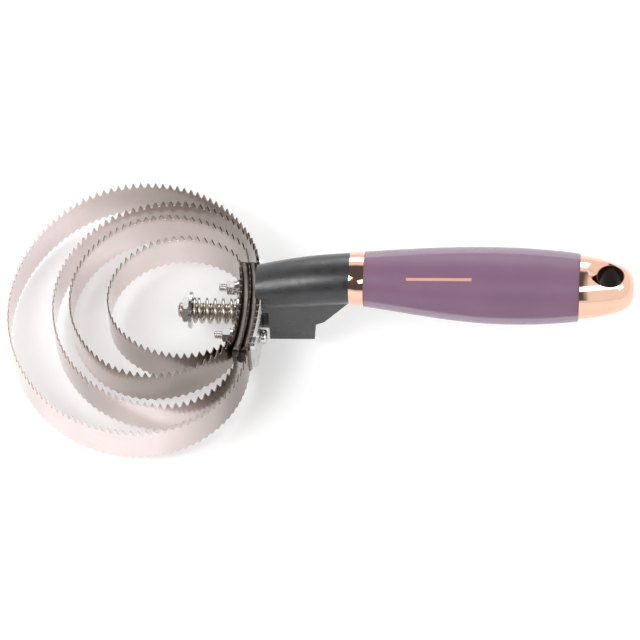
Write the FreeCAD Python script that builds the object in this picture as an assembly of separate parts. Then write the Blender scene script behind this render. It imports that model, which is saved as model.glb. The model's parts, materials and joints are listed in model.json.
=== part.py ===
import FreeCAD, Part
import math
import os

# Reversible spring curry comb: four toothed steel loops in a clamp that turns on a sprung bolt,
# carried by a moulded neck and a long moulded grip. Millimetres.
# Built with X along the bolt (loops at -X, grip at +X), the bolt's axis at Y = Z = 0 and the
# lock plate's rear face at X = 0. The coarse teeth face +Z. The finished set is then moved so
# that its origin is the middle of the bottom of the whole tool's box.

V = FreeCAD.Vector
X_AXIS = V(1, 0, 0)
Y_AXIS = V(0, 1, 0)
Z_AXIS = V(0, 0, 1)

# ---- running clearances ----
slip = 0.05                  # between stacked or seated faces
bolt_clearance = 0.25        # clamp stack on the centre bolt, radial
screw_clearance = 0.15       # clamp stack on the small screws, radial
sweep_clearance = 0.5        # turning clamp parts to the neck

# ---- toothed bands ----
band_thickness = 0.5
coarse_edge = 10.0           # bolt's axis up to the coarse tooth tips
fine_edge = 9.0              # bolt's axis down to the fine tooth tips
tooth_pitch = 3.1
coarse_tooth = 3.1           # depth of the +Z row
fine_tooth = 1.3             # depth of the -Z row
tooth_flat = 0.35            # width left at each tooth's tip
tooth_root = 0.7             # width of the flat between two teeth
end_gap = 0.8                # between a band's two ends, at the bolt
# Each loop leaves the bolt in one layer of the clamp on +Y and comes back on -Y in the next layer.
# reach: the plate's rear face to the loop's far side. droop: fall per unit of length outwards.
# upper and lower: the half height and the shoulder radius of the halves on +Y and -Y.
loops = [
    dict(name="ring_band_1", reach=103.9, droop=0.07, upper=(58.0, 51.4), lower=(63.9, 40.8)),
    dict(name="ring_band_2", reach=85.4, droop=0.04, upper=(48.0, 36.4), lower=(51.9, 28.4)),
    dict(name="ring_band_3", reach=78.4, droop=0.0, upper=(40.0, 39.7), lower=(38.4, 37.5)),
    dict(name="ring_band_4", reach=63.1, droop=0.0, upper=(29.8, 30.6), lower=(28.4, 28.3)),
]
clamp_bend = 12.0            # radius of each band where it leaves the clamp
grip_lead = 1.1              # of two bands that lie together, the back one leaves this much later

# ---- clamp ----
stack_radius = 110.0         # curve of the clamp, across the tool
rail_thickness = 2.8
rail_half_width = 5.2
rail_half_length = 22.0
rail_edge = 1.1              # rounding of the rails' long edges
rail_corner = 2.0
plate_thickness = 1.4
plate_half_width = 9.5
plate_half_length = 22.0
plate_corner = 4.0

# ---- clamp screws ----
screw_radius = 1.5
screw_offset = 11.6          # either side of the bolt
screw_end = 19.2             # plate's rear face to the tip
screw_head_radius = 2.9
screw_head_height = 2.2
small_washer_radius = 3.4
small_washer_thickness = 0.7
lock_washer_radius = 2.75
lock_washer_thickness = 0.9
lock_washer_split = 0.7
small_nut_flats = 5.5
small_nut_thickness = 3.2
front_grip_half = screw_offset + small_washer_radius     # the innermost band leaves the clamp here

# ---- centre bolt and spring ----
bolt_radius = 3.0
bolt_end = 34.6              # plate's rear face to the tip
bolt_head_radius = 5.0
bolt_head_height = 6.0
bolt_socket_flats = 5.0
bolt_socket_depth = 3.0
bolt_seat = 12.0             # plate's rear face to the seat of the head washer in the neck
head_washer_thickness = 0.8
end_washer_radius = 7.5
end_washer_thickness = 1.2
end_washer_face = 29.0       # plate's rear face to the washer's spring side
bolt_nut_flats = 10.0
bolt_nut_thickness = 2.6
seat_washer_radius = 6.2
seat_washer_thickness = 0.8
spring_radius = 4.75         # to the middle of the wire
spring_wire = 1.2
spring_pitch = 3.4

# ---- neck ----
handle_rise = 26.5           # grip's axis above the bolt's axis
block_half_width = 8.5
block_bottom = 6.9           # bolt's axis down to the underside, at the plate
block_bottom_rear = 5.7      # and at the step behind the bolt head
block_length = 20.8          # plate's rear face to the step behind the bolt head
neck_length = 35.2           # plate's rear face to the ferrule
hood_front = 2.3             # the hood's lip stands this far ahead of the plate's rear face
hood_front_radius = 8.8
hood_front_rise = 18.3
hood_middle_radius = 10.1
hood_middle_rise = 23.6
hood_middle = 19.0
neck_end_radius = 10.2
boss_radius = 6.0            # the round pad that the lock plate bears on
spigot_radius = 8.6          # under the ferrule
tang_radius = 6.0            # inside the grip
tang_length = 36.0

# ---- grip ----
ferrule_length = 5.8
ferrule_front_radius = 10.4
ferrule_rear_radius = 10.7
grip_length = 85.6
sleeve_wall = 2.4
sleeve_rounding = 1.0        # of the sleeve's rear corner
# along the grip: share of its length, outer radius, fall of the section's centre
grip_sections = [
    (0.00, 11.0, 0.0),
    (0.25, 13.3, 0.5),
    (0.60, 15.3, 1.1),
    (0.82, 14.9, 0.8),
    (1.00, 13.5, 0.3),
]
rod_radius = 2.5
rod_start = 50.0
rod_in_cap = 3.0             # how far the rod reaches into the cap's body

# ---- end cap ----
cap_length = 21.3
cap_radius = 12.7
cap_tip_radius = 9.2
cap_taper_length = 15.5
cap_spigot_radius = 6.5
cap_spigot_length = 12.0
hole_radius = 5.1
hole_length = 16.0
hole_from_tip = 9.3
rim_slope = 0.9              # how fast the funnel rim widens, per unit of depth


def cylinder_x(radius, start, end, y=0.0, z=0.0):
    return Part.makeCylinder(radius, end - start, V(start, y, z), X_AXIS)


def tube_x(outer, inner, start, end, y=0.0):
    margin = 1.0
    hole = cylinder_x(inner, start - margin, end + margin, y)
    return cylinder_x(outer, start, end, y).cut(hole)


def hexagon_x(flats, start, end, y=0.0):
    """Hexagonal prism along X."""
    corner = flats / math.sqrt(3)
    turns = [math.radians(60 * i) for i in range(7)]
    points = [V(start, y + corner * math.cos(t), corner * math.sin(t)) for t in turns]
    return Part.Face(Part.makePolygon(points)).extrude(V(end - start, 0, 0))


def nut_x(flats, hole, start, end, y=0.0):
    """Hexagonal nut, its corners turned off by a cone at each end."""
    base = flats / 2
    length = end - start
    widening = Part.makeCone(base, base + length, length, V(start, y, 0), X_AXIS)
    narrowing = Part.makeCone(base + length, base, length, V(start, y, 0), X_AXIS)
    body = hexagon_x(flats, start, end, y).common(widening).common(narrowing)
    return body.cut(cylinder_x(hole, start - 1, end + 1, y))


def rounded_slab_x(half_length, half_width, corner, start, end):
    """Flat plate across X, long in Y, with rounded corners."""
    box = Part.makeBox(end - start, 2 * half_length, 2 * half_width, V(start, -half_length, -half_width))
    edges = [e for e in box.Edges if abs(e.tangentAt(e.FirstParameter).x) > 0.9]
    return box.makeFillet(corner, edges)


# ---- layers of the clamp, measured at the bolt, from the plate towards the loops ----
plate_radius = stack_radius + slip + plate_thickness
stack_centre = -plate_radius


def layer(front_of, thickness):
    """Next layer's outer and inner radius about the clamp's centre of curve."""
    outer = front_of - slip
    return outer, outer - thickness


layer_1 = layer(stack_radius + slip, band_thickness)
layer_2 = layer(layer_1[1], band_thickness)
outer_rail = layer(layer_2[1], rail_thickness)
layer_3 = layer(outer_rail[1], band_thickness)
inner_rail = layer(layer_3[1], rail_thickness)
layer_4 = layer(inner_rail[1], band_thickness)
layer_5 = layer(layer_4[1], band_thickness)
layers = [layer_1, layer_2, layer_3, layer_4, layer_5]
# how far from the bolt each layer leaves the clamp
grips = [rail_half_length + grip_lead, rail_half_length, rail_half_length,
         front_grip_half + grip_lead, front_grip_half]
stack_front = -(stack_centre + layer_5[1])      # plate's rear face to the innermost band's free face


def stack_holes(start, end):
    """The bolt's hole and the two screw holes through the clamp."""
    screw_hole = screw_radius + screw_clearance
    return [
        cylinder_x(bolt_radius + bolt_clearance, start, end),
        cylinder_x(screw_hole, start, end, screw_offset),
        cylinder_x(screw_hole, start, end, -screw_offset),
    ]


def half_loop(reach, half_height, shoulder, radii, grip_half):
    """Arcs of one half of a loop's centre line, from the bolt round to its far side.

    Headings are measured from +Y towards -X. Each arc is (start point, heading, turn, radius),
    and a bend away from the loop has a negative radius.
    """
    clamp_r = (radii[0] + radii[1]) / 2
    lead = math.asin(grip_half / clamp_r)
    rise = half_height - band_thickness / 2 - grip_half

    def turn_after(bend):
        return math.asin((shoulder - rise - bend * math.sin(lead)) / (shoulder - bend))

    bend = clamp_bend if turn_after(clamp_bend) > lead else -clamp_bend
    arcs = []
    x, y, heading = stack_centre + clamp_r, 0.0, 0.0

    def add(radius, to_heading):
        nonlocal x, y, heading
        arcs.append((x, y, heading, to_heading - heading, radius))
        x -= radius * (math.cos(heading) - math.cos(to_heading))
        y += radius * (math.sin(to_heading) - math.sin(heading))
        heading = to_heading

    add(clamp_r, lead)
    add(bend, turn_after(bend))
    add(shoulder, math.pi / 2)
    # two arcs that meet at 45 degrees close the quarter down to the far side
    across = x + reach - band_thickness / 2
    height = y
    diagonal = math.sin(math.pi / 4)
    rest = 1 - diagonal
    scale = diagonal ** 2 - rest ** 2
    add((diagonal * across - rest * height) / scale, 3 * math.pi / 4)
    add((diagonal * height - rest * across) / scale, math.pi)
    return arcs


def arc_points(arc, offset):
    """Start, middle and end of an arc moved sideways: outwards for a positive offset."""
    x, y, heading, turn, radius = arc
    centre_x = x - radius * math.cos(heading)
    centre_y = y - radius * math.sin(heading)
    moved = radius + offset
    steps = (heading, heading + turn / 2, heading + turn)
    return [V(centre_x + moved * math.cos(a), centre_y + moved * math.sin(a), 0) for a in steps]


def half_wire(arcs, offset):
    return [Part.Arc(*arc_points(arc, offset)).toShape() for arc in arcs]


def half_band(loop, side, layer_number, runs_on):
    """The half of a loop that is drawn on +Y, with a row of teeth along each edge.

    Its end butts at the bolt, or it runs on to the other end of the clamp.
    """
    radii, grip_half = layers[layer_number], grips[layer_number]
    reach, drop = loop["reach"], loop["droop"]
    half_height, shoulder = loop[side]
    arcs = half_loop(reach, half_height, shoulder, radii, grip_half)
    half = band_thickness / 2
    outer, inner = half_wire(arcs, half), half_wire(arcs, -half)
    near = Part.makeLine(inner[0].Vertexes[0].Point, outer[0].Vertexes[0].Point)
    far = Part.makeLine(outer[-1].Vertexes[-1].Point, inner[-1].Vertexes[-1].Point)
    face = Part.Face(Part.Wire(Part.__sortEdges__([near] + outer + [far] + inner)))

    # the strip falls away from the clamp, so it is cut from a taller one between sloping planes
    clamp_face = -plate_thickness - slip
    tall = coarse_edge + drop * reach + 1
    strip = face.extrude(V(0, 0, 2 * tall))
    strip.translate(V(0, 0, -tall))

    def level(x):
        return drop * min(x - clamp_face, 0.0)

    far_x = -reach - 1
    corners = [(far_x, level(far_x)), (clamp_face, 0.0), (clamp_face + 2, 0.0)]
    outline = [V(x, -1, z + coarse_edge) for x, z in corners]
    outline += [V(x, -1, z - fine_edge) for x, z in reversed(corners)]
    slab = Part.Face(Part.makePolygon(outline + outline[:1])).extrude(V(0, half_height + 2, 0))

    centre_line = Part.Wire(half_wire(arcs, 0))
    count = round(centre_line.Length / tooth_pitch)
    points = centre_line.discretize(2 * count + 1)
    opening = (centre_line.Length / count - tooth_flat) / 2
    notches = []
    for i in range(1, 2 * count, 2):
        along = (points[i + 1] - points[i - 1]).normalize()
        across = V(along.y, -along.x, 0)
        for edge, depth in ((coarse_edge, coarse_tooth), (-fine_edge, fine_tooth)):
            outwards = Z_AXIS * math.copysign(1, edge)
            root = points[i] + Z_AXIS * (level(points[i].x) + edge) - outwards * depth
            rise = depth + 1
            flat = along * (tooth_root / 2)
            flare = flat + along * ((opening - tooth_root / 2) / depth * rise)
            top = root + outwards * rise
            wedge = Part.Face(Part.makePolygon([root - flat, top - flare, top + flare, root + flat, root - flat]))
            wedge.translate(-across * band_thickness)
            notches.append(wedge.extrude(across * 2 * band_thickness))
    toothed = strip.common(slab).cut(notches)

    inner_x = radii[1] + stack_centre - 4
    clamp_depth = clamp_face + 1 - inner_x
    if runs_on:
        clamped = Part.makeBox(clamp_depth, grip_half, 2 * tall, V(inner_x, 0, -tall))
        tail = toothed.common(clamped).mirror(V(0, 0, 0), Y_AXIS)
        return toothed.fuse(tail).removeSplitter()
    gap = Part.makeBox(clamp_depth, end_gap / 2, 2 * tall, V(inner_x, 0, -tall))
    return toothed.cut(gap)


def ring_band(number):
    """One loop of toothed strip. The first and the last run on through the clamp."""
    loop = loops[number]
    upper = half_band(loop, "upper", number, number == 0)
    lower = half_band(loop, "lower", number + 1, number == len(loops) - 1)
    strip = upper.fuse(lower.mirror(V(0, 0, 0), Y_AXIS)).removeSplitter()
    return strip.cut(stack_holes(-stack_front - 4, 0))


def curved_bar(radii, half_width):
    """Bar bent to the clamp's curve, longer than the clamp."""
    outer, inner = radii[0] + stack_centre, radii[1] + stack_centre
    box = Part.makeBox(outer - inner, 1, 2 * half_width, V(inner, 0, -half_width))
    section = [f for f in box.Faces if abs(f.normalAt(0, 0).y) > 0.9 and f.CenterOfMass.y < 0.1][0]
    sweep = 2 * math.degrees(math.asin((rail_half_length + 2) / radii[1]))
    bar = section.revolve(V(stack_centre, 0, 0), Z_AXIS, sweep)
    bar.rotate(V(stack_centre, 0, 0), Z_AXIS, -sweep / 2)
    return bar


def trimmed_bar(bar, half_length, half_width, corner):
    """A curved bar cut to its length, with rounded corners and the clamp's holes."""
    start, end = bar.BoundBox.XMin - 1, bar.BoundBox.XMax + 1
    blank = rounded_slab_x(half_length, half_width, corner, start, end)
    return bar.common(blank).cut(stack_holes(start, end))


def clamp_rail(radii):
    bar = curved_bar(radii, rail_half_width)
    bar = bar.makeFillet(rail_edge, [e for e in bar.Edges if e.Length > rail_half_length])
    return trimmed_bar(bar, rail_half_length, rail_half_width, rail_corner)


def lock_plate():
    """Plate bent to the clamp's curve, behind the first band."""
    bar = curved_bar((plate_radius, plate_radius - plate_thickness), plate_half_width)
    return trimmed_bar(bar, plate_half_length, plate_half_width, plate_corner)


def pair(make):
    """The same piece on both clamp screws."""
    return Part.makeCompound([make(-screw_offset), make(screw_offset)])


def sagitta(radius, reach):
    """How far a curve of this radius falls away at this distance from its crown."""
    return radius - math.sqrt(radius ** 2 - reach ** 2)


# the heads bear on the curved plate at their edge nearest the bolt
head_face = slip - sagitta(plate_radius, screw_offset - screw_head_radius)


def clamp_screw(y):
    shank = cylinder_x(screw_radius, -screw_end, head_face, y)
    shank = shank.makeChamfer(0.3, [e for e in shank.Edges if e.CenterOfMass.x < -screw_end + 0.1
                                    and len(e.Vertexes) == 1])
    top = head_face + screw_head_height
    head = cylinder_x(screw_head_radius, head_face, top, y)
    rim = [e for e in head.Edges if e.CenterOfMass.x > top - 0.1]
    head = head.makeFillet(screw_head_height * 0.45, rim)
    recess_length = 3.2
    recess_width = 0.8
    slots = [
        Part.makeBox(1.2, recess_length, recess_width, V(top - 1.1, y - recess_length / 2, -recess_width / 2)),
        Part.makeBox(1.2, recess_width, recess_length, V(top - 1.1, y - recess_width / 2, -recess_length / 2)),
    ]
    return shank.fuse(head).cut(slots)


def band_face_at(reach):
    """Plane that clears the innermost band's curved face out to this distance from the bolt."""
    return -(stack_front + sagitta(layer_5[1], reach) + slip)


seat_face = band_face_at(seat_washer_radius)
small_washer_face = band_face_at(screw_offset + small_washer_radius)
lock_washer_face = small_washer_face - small_washer_thickness - slip
small_nut_face = lock_washer_face - lock_washer_thickness - slip


def small_washer(y):
    hole = screw_radius + screw_clearance
    return tube_x(small_washer_radius, hole, small_washer_face - small_washer_thickness, small_washer_face, y)


def lock_washer(y):
    hole = screw_radius + screw_clearance
    ring = tube_x(lock_washer_radius, hole, lock_washer_face - lock_washer_thickness, lock_washer_face, y)
    split = Part.makeBox(3, 4, lock_washer_split, V(lock_washer_face - 2, y, -lock_washer_split / 2))
    return ring.cut(split)


def small_nut(y):
    return nut_x(small_nut_flats, screw_radius + slip, small_nut_face - small_nut_thickness, small_nut_face, y)


def centre_bolt():
    bearing = bolt_seat + head_washer_thickness + slip
    top = bearing + bolt_head_height
    shank = cylinder_x(bolt_radius, -bolt_end, bearing)
    shank = shank.makeChamfer(0.6, [e for e in shank.Edges if e.CenterOfMass.x < -bolt_end + 0.1
                                    and len(e.Vertexes) == 1])
    head = cylinder_x(bolt_head_radius, bearing, top)
    rim = [e for e in head.Edges if e.CenterOfMass.x > top - 0.1]
    head = head.makeFillet(0.6, rim)
    socket = hexagon_x(bolt_socket_flats, top - bolt_socket_depth, top + 1)
    return shank.fuse(head).cut(socket)


def head_washer():
    return tube_x(bolt_head_radius, bolt_radius + slip, bolt_seat, bolt_seat + head_washer_thickness)


def bolt_washer():
    hole = bolt_radius + bolt_clearance
    return tube_x(end_washer_radius, hole, -end_washer_face - end_washer_thickness, -end_washer_face)


def bolt_nut():
    face = -end_washer_face - end_washer_thickness - slip
    return nut_x(bolt_nut_flats, bolt_radius + slip, face - bolt_nut_thickness, face)


def spring_seat_washer():
    hole = bolt_radius + bolt_clearance
    return tube_x(seat_washer_radius, hole, seat_face - seat_washer_thickness, seat_face)


def compression_spring():
    """Round wire wound about the bolt, its end faces just clear of both washers."""
    start = -end_washer_face + slip + spring_wire / 2
    end = seat_face - seat_washer_thickness - slip - spring_wire / 2
    helix = Part.makeHelix(spring_pitch, end - start, spring_radius)
    section = Part.Wire(Part.makeCircle(spring_wire / 2, V(spring_radius, 0, 0), V(0, 1, 0)))
    coil = Part.Wire(helix).makePipeShell([section], True, True)
    coil.rotate(V(0, 0, 0), Y_AXIS, 90)
    coil.translate(V(start, 0, 0))
    return coil


def circle_wire(x, radius, z):
    return Part.Wire(Part.makeCircle(radius, V(x, 0, z), X_AXIS))


def neck():
    """Moulded neck: a round hood that rises to the grip, over a block that holds the bolt."""
    step_rise = 7.4          # top of the step behind the bolt head
    hood_drop = math.sqrt(neck_end_radius ** 2 - block_half_width ** 2)    # block's sides meet the hood
    hood = Part.makeLoft([
        circle_wire(-hood_front, hood_front_radius, hood_front_rise),
        circle_wire(hood_middle, hood_middle_radius, hood_middle_rise),
        circle_wire(neck_length, neck_end_radius, handle_rise),
    ], True, False)
    side = [
        (0.0, -block_bottom),
        (block_length, -block_bottom_rear),
        (block_length + 0.8, step_rise - 2),
        (block_length + 4.2, step_rise),
        (neck_length - 0.4, handle_rise - hood_drop),
        (neck_length - 0.4, handle_rise),
        (hood_middle, hood_middle_rise),
        (-hood_front, hood_front_rise),
        (-hood_front, hood_front_rise - hood_front_radius),
        (0.0, hood_front_rise - hood_front_radius),
    ]
    points = [V(x, -block_half_width, z) for x, z in side]
    block = Part.Face(Part.makePolygon(points + points[:1])).extrude(V(0, 2 * block_half_width, 0))
    lower = [e for e in block.Edges if e.BoundBox.ZMax < -block_bottom_rear + 0.1 and e.BoundBox.XLength > 1]
    block = block.makeFillet(1.2, lower)
    body = hood.fuse(block)

    # clearances for the clamp as it turns: the plate's corners, then the screw heads
    corner_reach = math.hypot(plate_half_length - plate_corner, plate_half_width - plate_corner) + plate_corner
    plate_sweep = corner_reach + sweep_clearance
    head_sweep = screw_offset + screw_head_radius + sweep_clearance
    head_depth = slip + screw_head_height + sweep_clearance
    body = body.cut([
        cylinder_x(plate_sweep, -hood_front - 5, slip),
        tube_x(head_sweep, boss_radius, slip - 1, head_depth),
    ])

    spigot = cylinder_x(spigot_radius, neck_length - 3, neck_length + ferrule_length, z=handle_rise)
    tang_end = neck_length + ferrule_length + tang_length
    tang = cylinder_x(tang_radius, neck_length, tang_end, z=handle_rise)
    body = body.fuse([spigot, tang])
    bolt_hole = cylinder_x(bolt_radius + slip, -1, bolt_seat + 1)
    pocket = cylinder_x(bolt_head_radius + 0.2, bolt_seat, neck_length)
    rod_hole = cylinder_x(rod_radius + slip, rod_start - slip, tang_end + 1, z=handle_rise)
    return body.cut([bolt_hole, pocket, rod_hole])


ferrule_start = neck_length + slip
grip_start = neck_length + ferrule_length + 2 * slip
grip_end = grip_start + grip_length
cap_start = grip_end + slip
cap_end = cap_start + cap_length
hole_x = cap_end - hole_from_tip


def revolved(profile):
    """Solid of revolution about the grip's axis, from (x, radius) edges."""
    face = Part.Face(Part.Wire(profile))
    face.translate(V(0, 0, handle_rise))
    return face.revolve(V(0, 0, handle_rise), X_AXIS, 360)


def line(a, b):
    return Part.makeLine(V(a[0], 0, a[1]), V(b[0], 0, b[1]))


def ferrule():
    crown = 0.5
    end = ferrule_start + ferrule_length - slip
    inner = spigot_radius + slip
    middle = (ferrule_start + end) / 2
    middle_radius = (ferrule_front_radius + ferrule_rear_radius) / 2 + crown / 2
    face_edge = Part.Arc(V(ferrule_start, 0, ferrule_front_radius), V(middle, 0, middle_radius),
                         V(end, 0, ferrule_rear_radius)).toShape()
    return revolved([
        face_edge,
        line((end, ferrule_rear_radius), (end, inner)),
        line((end, inner), (ferrule_start, inner)),
        line((ferrule_start, inner), (ferrule_start, ferrule_front_radius)),
    ])


def grip_body(inset):
    """Loft through the grip's round sections, each drawn in by the inset."""
    wires = []
    for share, radius, fall in grip_sections:
        wires.append(circle_wire(grip_start + share * grip_length, radius - inset, handle_rise - fall))
    return Part.makeLoft(wires, True, False)


def grip_sleeve():
    body = grip_body(0)
    rear = [e for e in body.Edges if e.BoundBox.XMin > grip_end - 0.1]
    return body.makeFillet(sleeve_rounding, rear).cut(grip_body(sleeve_wall))


def grip_core():
    bore = [
        cylinder_x(tang_radius + slip, grip_start - 1, grip_start + tang_length + slip, z=handle_rise),
        cylinder_x(rod_radius + slip, grip_start, grip_end, z=handle_rise),
        cylinder_x(cap_spigot_radius + slip, grip_end - cap_spigot_length - slip, grip_end + 1, z=handle_rise),
    ]
    return grip_body(sleeve_wall + slip).cut(bore)


def core_rod():
    end = cap_start + rod_in_cap
    rod = cylinder_x(rod_radius, rod_start, end, z=handle_rise)
    return rod.makeChamfer(0.4, [e for e in rod.Edges if len(e.Vertexes) == 1])


def end_cap():
    taper_end = cap_start + cap_taper_length
    bulge = 0.6
    shoulder = Part.Arc(V(cap_start, 0, cap_radius),
                        V((cap_start + taper_end) / 2, 0, (cap_radius + cap_tip_radius) / 2 + bulge),
                        V(taper_end, 0, cap_tip_radius)).toShape()
    tip_width = 0.3 * cap_tip_radius
    tip = Part.Arc(V(taper_end, 0, cap_tip_radius),
                   V(cap_end - 0.32 * (cap_length - cap_taper_length), 0, 0.76 * cap_tip_radius),
                   V(cap_end, 0, tip_width)).toShape()
    body = revolved([
        line((cap_start, 0), (cap_start, cap_radius)),
        shoulder,
        tip,
        line((cap_end, tip_width), (cap_end, 0)),
        line((cap_end, 0), (cap_start, 0)),
    ])
    body = body.fuse(cylinder_x(cap_spigot_radius, cap_start - cap_spigot_length, cap_start + 1, z=handle_rise))
    hole = Part.makeCylinder(hole_radius, 4 * cap_radius, V(hole_x, 0, handle_rise - 2 * cap_radius))
    rod_hole = cylinder_x(rod_radius + slip, cap_start - cap_spigot_length - 1,
                          cap_start + rod_in_cap + slip, z=handle_rise)
    cuts = [hole, rod_hole]
    for side in (1, -1):
        depth = cap_radius
        wide = hole_radius + rim_slope * depth
        start = V(hole_x, 0, handle_rise + side * hole_length / 2)
        cuts.append(Part.makeCone(hole_radius, wide, depth, start, Z_AXIS * side))
    return body.cut(cuts)


parts = {}
for number, loop in enumerate(loops):
    parts[loop["name"]] = ring_band(number)
parts["outer_clamp_rail"] = clamp_rail(outer_rail)
parts["inner_clamp_rail"] = clamp_rail(inner_rail)
parts["lock_plate"] = lock_plate()
parts["clamp_screws"] = pair(clamp_screw)
parts["clamp_washers"] = pair(small_washer)
parts["clamp_lock_washers"] = pair(lock_washer)
parts["clamp_nuts"] = pair(small_nut)
parts["centre_bolt"] = centre_bolt()
parts["bolt_head_washer"] = head_washer()
parts["bolt_washer"] = bolt_washer()
parts["bolt_nut"] = bolt_nut()
parts["spring_seat_washer"] = spring_seat_washer()
parts["compression_spring"] = compression_spring()
parts["neck"] = neck()
parts["ferrule"] = ferrule()
parts["grip_sleeve"] = grip_sleeve()
parts["grip_core"] = grip_core()
parts["core_rod"] = core_rod()
parts["end_cap"] = end_cap()

whole = Part.makeCompound(list(parts.values())).optimalBoundingBox(False, False)
origin = V((whole.XMin + whole.XMax) / 2, (whole.YMin + whole.YMax) / 2, whole.ZMin)

os.makedirs("parts", exist_ok=True)
for name, shape in parts.items():
    shape.translate(-origin)
    shape.exportStep("parts/" + name + ".step")
    print(name, len(shape.Solids), shape.isValid(), round(shape.Volume, 1))
print("origin", origin, "size", whole.XLength, whole.YLength, whole.ZLength)
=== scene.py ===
import bpy
import json
import math
from mathutils import Matrix, Vector


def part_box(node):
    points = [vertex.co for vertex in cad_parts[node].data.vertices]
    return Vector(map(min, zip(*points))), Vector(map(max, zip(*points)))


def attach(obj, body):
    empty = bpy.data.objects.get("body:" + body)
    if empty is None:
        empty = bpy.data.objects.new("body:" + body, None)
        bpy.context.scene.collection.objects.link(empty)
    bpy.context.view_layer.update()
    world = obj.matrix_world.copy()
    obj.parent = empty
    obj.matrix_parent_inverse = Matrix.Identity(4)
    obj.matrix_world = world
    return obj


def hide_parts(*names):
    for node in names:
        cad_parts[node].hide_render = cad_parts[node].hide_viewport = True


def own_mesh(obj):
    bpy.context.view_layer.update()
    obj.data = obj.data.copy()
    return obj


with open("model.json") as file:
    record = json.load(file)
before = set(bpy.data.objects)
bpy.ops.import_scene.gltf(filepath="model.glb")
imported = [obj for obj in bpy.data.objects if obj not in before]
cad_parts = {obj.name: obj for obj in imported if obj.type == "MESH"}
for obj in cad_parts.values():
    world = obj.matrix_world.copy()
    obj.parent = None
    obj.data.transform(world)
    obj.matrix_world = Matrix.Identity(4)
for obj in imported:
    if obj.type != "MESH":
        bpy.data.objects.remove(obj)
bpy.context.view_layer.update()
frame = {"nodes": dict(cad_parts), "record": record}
bpy.context.scene.view_settings.view_transform = "Standard"
MM = 0.001

# The bolt's axis, at the lock plate's rear face, is where the tool's own measures start.
bolt_low, bolt_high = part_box("centre_bolt")
datum = Vector((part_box("lock_plate")[1].x,
                (bolt_low.y + bolt_high.y) / 2, (bolt_low.z + bolt_high.z) / 2))
hole_from_end = 9.3 * MM
hole_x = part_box("end_cap")[1].x - hole_from_end      # axis of the hanging hole


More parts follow.
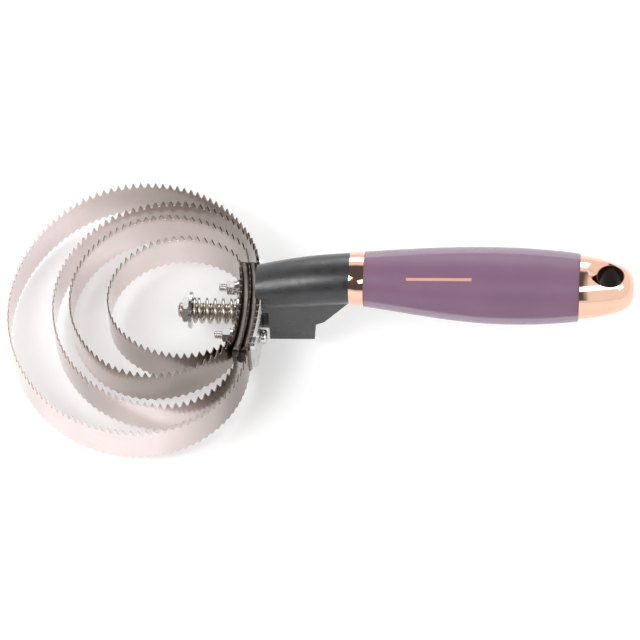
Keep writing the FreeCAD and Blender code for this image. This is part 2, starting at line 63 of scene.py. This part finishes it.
# ---------------------------------------------------------------- materials
class Look:
    """One Principled material, with its colour, roughness and relief built up from noise."""

    def __init__(self, name, color, roughness, metallic=0.0):
        self.material = bpy.data.materials.new(name)
        self.material.use_nodes = True
        self.tree = self.material.node_tree
        self.shader = self.tree.nodes["Principled BSDF"]
        self.color = color
        self.roughness = roughness
        self.shader.inputs["Metallic"].default_value = metallic
        self.height = None
        coordinates = self.node("ShaderNodeTexCoord")
        self.position = coordinates.outputs["Object"]

    def node(self, kind, **values):
        made = self.tree.nodes.new(kind)
        for key, value in values.items():
            setattr(made, key, value)
        return made

    def link(self, output, socket):
        self.tree.links.new(output, socket)

    def stretched(self, scale):
        mapping = self.node("ShaderNodeMapping")
        mapping.inputs["Scale"].default_value = scale
        self.link(self.position, mapping.inputs["Vector"])
        return mapping.outputs["Vector"]

    def noise(self, scale, detail=3.0, stretch=(1, 1, 1)):
        noise = self.node("ShaderNodeTexNoise")
        noise.inputs["Scale"].default_value = scale
        noise.inputs["Detail"].default_value = detail
        self.link(self.stretched(stretch), noise.inputs["Vector"])
        return noise.outputs["Fac"]

    def along(self, axis, start, end):
        """0 to 1 between two places along the object's own X, Y or Z, in metres."""
        split = self.node("ShaderNodeSeparateXYZ")
        self.link(self.position, split.inputs["Vector"])
        return self.spread(split.outputs[axis], 0.0, 1.0, start, end)

    def both(self, first, second):
        """High only where both masks are."""
        product = self.node("ShaderNodeMath", operation="MULTIPLY")
        self.link(first, product.inputs[0])
        self.link(second, product.inputs[1])
        return product.outputs["Value"]

    def from_upright(self, x, y, start, end):
        """0 to 1 between two distances from an upright axis, in metres."""
        flat = self.node("ShaderNodeVectorMath", operation="MULTIPLY")
        flat.inputs[1].default_value = (1, 1, 0)
        self.link(self.position, flat.inputs[0])
        apart = self.node("ShaderNodeVectorMath", operation="DISTANCE")
        apart.inputs[1].default_value = (x, y, 0)
        self.link(flat.outputs["Vector"], apart.inputs[0])
        return self.spread(apart.outputs["Value"], 0.0, 1.0, start, end)

    def spread(self, source, low, high, start=0.3, end=0.7):
        """Maps start and end of the source to low and high."""
        ranged = self.node("ShaderNodeMapRange")
        ranges = {"From Min": start, "From Max": end, "To Min": low, "To Max": high}
        for key, value in ranges.items():
            ranged.inputs[key].default_value = value
        self.link(source, ranged.inputs["Value"])
        return ranged.outputs["Result"]

    def tint(self, source, other, low=0.0, high=1.0, start=0.35, end=0.65):
        """Mixes another colour in where the source is high."""
        mix = self.node("ShaderNodeMix", data_type="RGBA")
        if isinstance(self.color, tuple):
            mix.inputs["A"].default_value = (*self.color, 1)
        else:
            self.link(self.color, mix.inputs["A"])
        mix.inputs["B"].default_value = (*other, 1)
        self.link(self.spread(source, low, high, start, end), mix.inputs["Factor"])
        self.color = mix.outputs["Result"]
        return self

    def shade(self, mask, other, amount):
        """Mixes another colour in by a mask that already runs from 0 to 1."""
        return self.tint(mask, other, 0.0, amount, 0.0, 1.0)

    def wear(self, source, low, high):
        """Lets the roughness run from low to high with the source."""
        self.roughness = self.spread(source, low, high)
        return self

    def relief(self, source, depth, strength=1.0):
        """Bump of this depth in metres, on top of what is there already."""
        bump = self.node("ShaderNodeBump")
        bump.inputs["Strength"].default_value = strength
        bump.inputs["Distance"].default_value = depth
        self.link(source, bump.inputs["Height"])
        if self.height is not None:
            self.link(self.height, bump.inputs["Normal"])
        self.height = bump.outputs["Normal"]
        return self

    def set(self, **sockets):
        for key, value in sockets.items():
            self.shader.inputs[key.replace("_", " ")].default_value = value
        return self

    def done(self):
        self.link(self.color, self.shader.inputs["Base Color"])
        if isinstance(self.roughness, float):
            self.shader.inputs["Roughness"].default_value = self.roughness
        else:
            self.link(self.roughness, self.shader.inputs["Roughness"])
        if self.height is not None:
            self.link(self.height, self.shader.inputs["Normal"])
        return self.material


def band_steel():
    """Rolled strip. Browner places on it stand in for the photograph's dark reflections.

    They are at the clamp, on the coarse teeth, on the lower side of the inner loops and where
    the loops crowd together, and they stay on the strip when the head turns.
    """
    look = Look("band_steel", (0.87, 0.765, 0.75), 0.3, metallic=1.0)
    rolled = look.noise(60, 4, stretch=(1, 1, 60))
    look.tint(look.noise(45, 3), (0.80, 0.71, 0.69), 0.0, 0.8)
    look.tint(rolled, (0.91, 0.83, 0.82), 0.0, 0.35)
    inner_loops = look.both(look.along("Y", datum.y - 50 * MM, datum.y - 40 * MM),
                            look.along("X", datum.x - 104 * MM, datum.x - 50 * MM))
    lower_side = look.both(inner_loops, look.along("Y", datum.y + 20 * MM, datum.y - 15 * MM))
    look.shade(lower_side, (0.38, 0.335, 0.31), 0.8)
    near_clamp = look.along("X", datum.x - 38 * MM, datum.x - 8 * MM)
    look.shade(near_clamp, (0.27, 0.23, 0.20), 0.8)
    crowded = look.both(look.along("Y", datum.y + 33 * MM, datum.y + 46 * MM),
                        look.along("X", datum.x - 88 * MM, datum.x - 40 * MM))
    look.shade(crowded, (0.27, 0.23, 0.195), 0.7)
    coarse_teeth = look.along("Z", datum.z + 5.5 * MM, datum.z + 10 * MM)
    look.shade(coarse_teeth, (0.34, 0.295, 0.27), 0.8)
    look.wear(rolled, 0.13, 0.22)
    return look.relief(rolled, 0.00002, 0.25).done()


def rail_steel():
    look = Look("rail_steel", (0.29, 0.262, 0.235), 0.4, metallic=1.0)
    look.tint(look.noise(220, 5), (0.15, 0.13, 0.115), 0.0, 0.85)
    look.tint(look.noise(90, 3, stretch=(1, 0.2, 1)), (0.42, 0.39, 0.36), 0.0, 0.5)
    # Painted shade: the colour is darkened almost to black on the rails' end faces and corners.
    for side in (-1, 1):
        painted_end_shade = look.along("Y", datum.y + side * 20.6 * MM, datum.y + side * 21.8 * MM)
        look.shade(painted_end_shade, (0.055, 0.045, 0.04), 0.9)
    look.wear(look.noise(500, 4), 0.3, 0.5)
    return look.relief(look.noise(900, 4), 0.00004, 0.5).done()


def zinc(name, color, low, high):
    look = Look(name, color, low, metallic=1.0)
    look.tint(look.noise(300, 4), tuple(0.8 * c for c in color), 0.0, 0.7)
    look.wear(look.noise(700, 4, stretch=(1, 1, 0.15)), low, high)
    return look.relief(look.noise(1400, 3), 0.00002, 0.4).done()


def neck_plastic():
    look = Look("neck_plastic", (0.019, 0.019, 0.021), 0.42)
    look.tint(look.noise(120, 3), (0.030, 0.030, 0.033))
    look.wear(look.noise(300, 4), 0.24, 0.46)
    look.relief(look.noise(1500, 2), 0.00003, 0.3)
    return look.set(Coat_Weight=0.4, Coat_Roughness=0.3).done()


def rose_gold(name):
    look = Look(name, (0.93, 0.60, 0.45), 0.07, metallic=1.0)
    look.tint(look.noise(80, 2), (0.90, 0.56, 0.42))
    look.wear(look.noise(600, 4), 0.05, 0.1)
    return look


def cap_plating():
    """Plated on the outside; inside the hanging hole it is dark and not metallic.

    The export drops the lower specular level inside the hole.
    """
    look = rose_gold("rose_gold_plated")
    metallic, specular = look.shader.inputs["Metallic"], look.shader.inputs["Specular IOR Level"]
    # Inside the hanging hole the colour runs dark, the metallic drops to nothing and the specular
    # level falls.
    in_hole = look.from_upright(hole_x, datum.y, 5.5 * MM, 5.2 * MM)
    look.shade(in_hole, (0.022, 0.012, 0.010), 1.0)
    look.link(look.spread(in_hole, 1.0, 0.0, 0.0, 1.0), metallic)
    look.link(look.spread(in_hole, 0.5, 0.05, 0.0, 1.0), specular)
    return look.done()


def grip_core_plastic():
    look = Look("mauve_grip", (0.245, 0.085, 0.175), 0.45)
    look.tint(look.noise(70, 3), (0.265, 0.098, 0.190))
    look.wear(look.noise(900, 3), 0.4, 0.5)
    return look.done()


def sleeve_plastic():
    look = Look("frosted_sleeve", (0.315, 0.175, 0.285), 0.38)
    look.tint(look.noise(60, 3), (0.340, 0.190, 0.305))
    look.wear(look.noise(1500, 3), 0.34, 0.44)
    look.relief(look.noise(2200, 3), 0.00003, 0.4)
    return look.set(Alpha=0.6, Sheen_Weight=0.3, Sheen_Roughness=0.35).done()


LOOKS = {
    "band_steel": band_steel(),
    "rail_steel": rail_steel(),
    "zinc_plate": zinc("zinc_plate", (0.78, 0.77, 0.76), 0.16, 0.3),
    "fastener_zinc": zinc("fastener_zinc", (0.72, 0.71, 0.70), 0.14, 0.28),
    "bolt_steel": zinc("bolt_steel", (0.56, 0.47, 0.38), 0.2, 0.36),
    "spring_steel": zinc("spring_steel", (0.58, 0.54, 0.51), 0.14, 0.26),
    "neck_plastic": neck_plastic(),
    "rose_gold_metal": rose_gold("rose_gold_metal").done(),
    "rose_gold_plated": cap_plating(),
    "frosted_sleeve": sleeve_plastic(),
    "mauve_grip": grip_core_plastic(),
}

for part in frame["record"]["subparts"]:
    node = frame["nodes"][part["node"]]
    node.data.materials.clear()
    node.data.materials.append(LOOKS[part["material_slot"]])


# ---------------------------------------------------------------- pieces
def piece(name, verts, faces, body, slot_name, smooth=True):
    """A mesh that rides on a body, in the look of its slot."""
    mesh = bpy.data.meshes.new(name)
    mesh.from_pydata(verts, [], faces)
    mesh.validate()
    mesh.shade_smooth() if smooth else mesh.shade_flat()
    made = bpy.data.objects.new(name, mesh)
    bpy.context.scene.collection.objects.link(made)
    made.data.materials.append(LOOKS[slot_name])
    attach(made, body)
    return made


def ring_faces(rings, around):
    """Quads between rings of points, with both ends closed."""
    faces = []
    for i in range(rings - 1):
        for j in range(around):
            k = (j + 1) % around
            here, there = i * around, (i + 1) * around
            faces.append((here + j, here + k, there + k, there + j))
    faces.append(tuple(reversed(range(around))))
    faces.append(tuple((rings - 1) * around + j for j in range(around)))
    return faces


def coil(name, start_x, end_x, centre, radius, wire, turns, closed_turns, body, slot_name):
    """Spring wire whose first and last turns lie close together, as a cut spring's do."""
    steps_per_turn, around = 48, 14
    count = round(turns * steps_per_turn)
    blend_width = 0.3                    # turns over which the pitch opens
    close_pitch = wire * 1.03
    open_turns = turns - 2 * closed_turns
    open_pitch = (end_x - start_x - wire - 2 * closed_turns * close_pitch) / open_turns

    def pitch_at(turn):
        near_end = min(turn, turns - turn)
        blend = min(max((near_end - closed_turns + blend_width / 2) / blend_width, 0), 1)
        return close_pitch + (open_pitch - close_pitch) * blend * blend * (3 - 2 * blend)

    path, x = [], start_x + wire / 2
    for i in range(count + 1):
        turn = i / steps_per_turn
        angle = 2 * math.pi * turn
        path.append(Vector((x, centre.y + radius * math.cos(angle),
                            centre.z + radius * math.sin(angle))))
        x += pitch_at(turn + 0.5 / steps_per_turn) / steps_per_turn
    reach = (end_x - wire / 2 - path[0].x) / (path[-1].x - path[0].x)
    verts = []
    for i, point in enumerate(path):
        angle = 2 * math.pi * i / steps_per_turn
        outwards = Vector((0, math.cos(angle), math.sin(angle)))
        middle = Vector((path[0].x + (point.x - path[0].x) * reach, point.y, point.z))
        for j in range(around):
            round_wire = 2 * math.pi * j / around
            offset = outwards * math.cos(round_wire) + Vector((1, 0, 0)) * math.sin(round_wire)
            verts.append(middle + offset * (wire / 2))
    return piece(name, verts, ring_faces(count + 1, around), body, slot_name)


def thread(name, start_x, end_x, centre, radius, pitch, depth, body, slot_name):
    """The V thread of a rod along X, as one wound surface just outside its cylinder."""
    steps_per_turn = 36
    turns = (end_x - start_x) / pitch
    count = round(turns * steps_per_turn)
    verts, faces = [], []
    # of one thread: shares of the pitch along, and of the depth outwards
    profile = [(-0.5, -0.02), (-0.28, 0.1), (0.0, 1.0), (0.28, 0.1), (0.5, -0.02)]
    run_out = 0.5                        # turns over which the thread fades at each end
    for i in range(count + 1):
        turn = i / steps_per_turn
        angle = 2 * math.pi * turn
        height = max(min(1.0, turn / run_out, (turns - turn) / run_out), 0.0)
        for along, rise in profile:
            r = radius + depth * (rise * height if rise > 0 else rise)
            x = min(max(start_x + pitch * (turn + along), start_x), end_x)
            verts.append(Vector((x, centre.y + r * math.cos(angle),
                                 centre.z + r * math.sin(angle))))
    width = len(profile)
    for i in range(count):
        for j in range(width - 1):
            a = i * width + j
            faces.append((a, a + width, a + width + 1, a + 1))
    return piece(name, verts, faces, body, slot_name, smooth=False)


seat_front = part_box("spring_seat_washer")[0].x       # where the spring ends


def wound_spring():
    """The spring's wire, between the end washer and the seat washer."""
    spring_low, spring_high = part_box("compression_spring")
    wire, clearance = 1.2 * MM, 0.03 * MM
    turns, closed_turns = 6.3, 0.9
    spring_radius = (spring_high.y - spring_low.y) / 2 - wire / 2
    spring_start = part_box("bolt_washer")[1].x + clearance
    spring_end = seat_front - clearance
    spring = coil("wound_spring", spring_start, spring_end, datum, spring_radius, wire,
                  turns, closed_turns, "handle", "spring_steel")
    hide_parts("compression_spring")
    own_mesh(spring)


def threads():
    """Threads of the bolt and of the clamp screws, from near each tip."""
    bolt_radius, bolt_pitch, bolt_chamfer = 3.0 * MM, 1.0 * MM, 0.7 * MM
    thread("bolt_thread", bolt_low.x + bolt_chamfer, seat_front, datum, bolt_radius,
           bolt_pitch, 0.2 * MM, "handle", "bolt_steel")
    screw_radius, screw_pitch, screw_chamfer = 1.5 * MM, 0.5 * MM, 0.35 * MM
    screw_offset = 11.6 * MM
    screw_tip, nut_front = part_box("clamp_screws")[0].x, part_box("clamp_nuts")[0].x
    for name, side in (("screw_thread_lower", -1), ("screw_thread_upper", 1)):
        centre = Vector((0, datum.y + side * screw_offset, datum.z))
        thread(name, screw_tip + screw_chamfer, nut_front, centre, screw_radius,
               screw_pitch, 0.12 * MM, "ring_head", "fastener_zinc")


def printed_line():
    """A plain printed line on the sleeve."""
    look = Look("printed_line", (0.72, 0.36, 0.27), 0.4)
    look.tint(look.noise(2500, 2), (0.78, 0.42, 0.32))
    LOOKS["printed_line"] = look.done()
    sleeve = frame["nodes"]["grip_sleeve"]
    ferrule_low, ferrule_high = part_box("ferrule")
    axis_z = (ferrule_low.z + ferrule_high.z) / 2
    steps, half_width = 60, 0.62 * MM
    start, end = (58.2, 32.6), (84.2, 29.6)     # mm behind the plate, degrees from the top
    sleeve_radius = 14 * MM                     # near enough to set the line's width
    outside = 30 * MM                           # from the grip's axis, clear of the sleeve
    above, below = 0.05 * MM, 0.1 * MM          # of the sleeve's surface
    verts = []
    for i in range(steps + 1):
        share = i / steps
        x = datum.x + MM * (start[0] + (end[0] - start[0]) * share)
        angle = math.radians(start[1] + (end[1] - start[1]) * share)
        for across in (-1, 1):
            turned = angle + across * half_width / sleeve_radius
            ray = Vector((0, -math.sin(turned), math.cos(turned)))
            eye = Vector((x, datum.y, axis_z)) + ray * outside
            _, point, normal, _ = sleeve.ray_cast(eye, -ray)
            verts.append(point + normal * above)
            verts.append(point - normal * below)
    faces = [(0, 1, 3, 2), tuple(4 * steps + k for k in (0, 2, 3, 1))]
    for i in range(steps):
        a, b = 4 * i, 4 * i + 4
        faces += [(a, a + 2, b + 2, b), (a + 2, a + 3, b + 3, b + 2),
                  (a + 3, a + 1, b + 1, b + 3), (a + 1, a, b, b + 1)]
    made = piece("printed_line", verts, faces, "handle", "printed_line", smooth=False)


wound_spring()
threads()
printed_line()


# ---------------------------------------------------------------- camera
def photo_camera():
    """Looks at the bolt's datum from the photograph's side, a long way off."""
    azimuth, elevation, roll = (math.radians(a) for a in (6.569, 55.344, -3.202))
    distance, shift_right, shift_up = 1934.8 * MM, 22.444 * MM, -2.839 * MM
    away = Vector((math.sin(azimuth) * math.cos(elevation),
                   -math.cos(azimuth) * math.cos(elevation), math.sin(elevation)))
    level_right = Vector((math.cos(azimuth), math.sin(azimuth), 0))
    level_up = away.cross(level_right)
    right = level_right * math.cos(roll) + level_up * math.sin(roll)
    up = level_up * math.cos(roll) - level_right * math.sin(roll)
    data = bpy.data.cameras.new("camera")
    data.sensor_width = 36
    data.lens = 270
    data.clip_end = 20
    camera = bpy.data.objects.new("camera", data)
    bpy.context.scene.collection.objects.link(camera)
    rotation = Matrix((right, up, away)).transposed().to_4x4()
    place = datum + right * shift_right + up * shift_up + away * distance
    camera.matrix_world = Matrix.Translation(place) @ rotation
    bpy.context.scene.camera = camera


photo_camera()


# ---------------------------------------------------------------- floor, world and lamps
def seen_directly(tree):
    """1 for camera, glossy and transmission rays."""
    path = tree.nodes.new("ShaderNodeLightPath")
    total = path.outputs["Is Camera Ray"]
    for name in ("Is Glossy Ray", "Is Transmission Ray"):
        add = tree.nodes.new("ShaderNodeMath")
        add.operation = "ADD"
        add.use_clamp = True
        tree.links.new(total, add.inputs[0])
        tree.links.new(path.outputs[name], add.inputs[1])
        total = add.outputs[0]
    return total


def math_node(tree, operation, first, second):
    made = tree.nodes.new("ShaderNodeMath")
    made.operation = operation
    made.use_clamp = True
    for socket, value in zip(made.inputs, (first, second)):
        if isinstance(value, float):
            socket.default_value = value
        else:
            tree.links.new(value, socket)
    return made.outputs[0]


def fade(tree, source, start, end):
    """Rises smoothly from 0 at start to 1 at end."""
    ranged = tree.nodes.new("ShaderNodeMapRange")
    ranged.interpolation_type = "SMOOTHSTEP"
    ranged.inputs["From Min"].default_value = start
    ranged.inputs["From Max"].default_value = end
    tree.links.new(source, ranged.inputs["Value"])
    return ranged.outputs["Result"]


def pale_floor():
    """Pale matte floor that glows a little where it is seen directly, so that it reads white."""
    half_size, gap, glow_strength = 3.0, 0.5 * MM, 0.3
    material = bpy.data.materials.new("floor")
    material.use_nodes = True
    tree = material.node_tree
    tree.nodes.clear()
    diffuse = tree.nodes.new("ShaderNodeBsdfDiffuse")
    diffuse.inputs["Color"].default_value = (0.8, 0.8, 0.8, 1)
    glow = tree.nodes.new("ShaderNodeEmission")
    strength = math_node(tree, "MULTIPLY", seen_directly(tree), glow_strength)
    tree.links.new(strength, glow.inputs["Strength"])
    total = tree.nodes.new("ShaderNodeAddShader")
    output = tree.nodes.new("ShaderNodeOutputMaterial")
    tree.links.new(diffuse.outputs[0], total.inputs[0])
    tree.links.new(glow.outputs[0], total.inputs[1])
    tree.links.new(total.outputs[0], output.inputs["Surface"])

    mesh = bpy.data.meshes.new("floor")
    corners = [(x * half_size, y * half_size, 0) for x, y in ((-1, -1), (1, -1), (1, 1), (-1, 1))]
    mesh.from_pydata(corners, [], [(0, 1, 2, 3)])
    mesh.materials.append(material)
    floor = bpy.data.objects.new("floor", mesh)
    floor.location.z = -gap
    bpy.context.scene.collection.objects.link(floor)


def studio_world():
    """White round about, with a dark wall on the -Y side that only gloss shows."""
    plain_light, seen_light, wall_darkness = 0.5, 1.0, 0.9
    wall_edges = (("X", 0.28, 0.18), ("X", -0.6, -0.45), ("Y", 0.5, 0.35), ("Z", 0.02, 0.12))
    world = bpy.data.worlds.new("studio")
    bpy.context.scene.world = world
    world.use_nodes = True
    tree = world.node_tree
    direction = tree.nodes.new("ShaderNodeTexCoord").outputs["Generated"]
    split = tree.nodes.new("ShaderNodeSeparateXYZ")
    tree.links.new(direction, split.inputs[0])
    wall = tree.nodes.new("ShaderNodeLightPath").outputs["Is Glossy Ray"]
    for axis, start, end in wall_edges:
        wall = math_node(tree, "MULTIPLY", wall, fade(tree, split.outputs[axis], start, end))
    dark = math_node(tree, "MULTIPLY", wall, wall_darkness)
    plain = tree.nodes.new("ShaderNodeMix")
    plain.inputs["A"].default_value = plain_light
    plain.inputs["B"].default_value = seen_light
    tree.links.new(seen_directly(tree), plain.inputs["Factor"])
    background = tree.nodes["Background"]
    background.inputs["Color"].default_value = (1, 1, 1, 1)
    lit = math_node(tree, "SUBTRACT", 1.0, dark)
    tree.links.new(math_node(tree, "MULTIPLY", plain.outputs["Result"], lit),
                   background.inputs["Strength"])


def softbox(name, place, target, width, height, power):
    data = bpy.data.lights.new(name, "AREA")
    data.shape = "RECTANGLE"
    data.size, data.size_y = width, height
    data.energy = power
    lamp = bpy.data.objects.new(name, data)
    bpy.context.scene.collection.objects.link(lamp)
    lamp.location = place
    lamp.rotation_euler = (Vector(target) - Vector(place)).to_track_quat("-Z", "Y").to_euler()


pale_floor()
studio_world()
softbox("key", (-0.5, -0.4, 0.65), (0, 0, 0.02), 0.4, 0.4, 3.5)
softbox("back", (0.1, 0.75, 0.55), (0, 0, 0.02), 1.0, 0.4, 3.5)
softbox("side", (0.5, -0.6, 0.85), (0.1, 0, 0.02), 1.3, 0.3, 3.0)
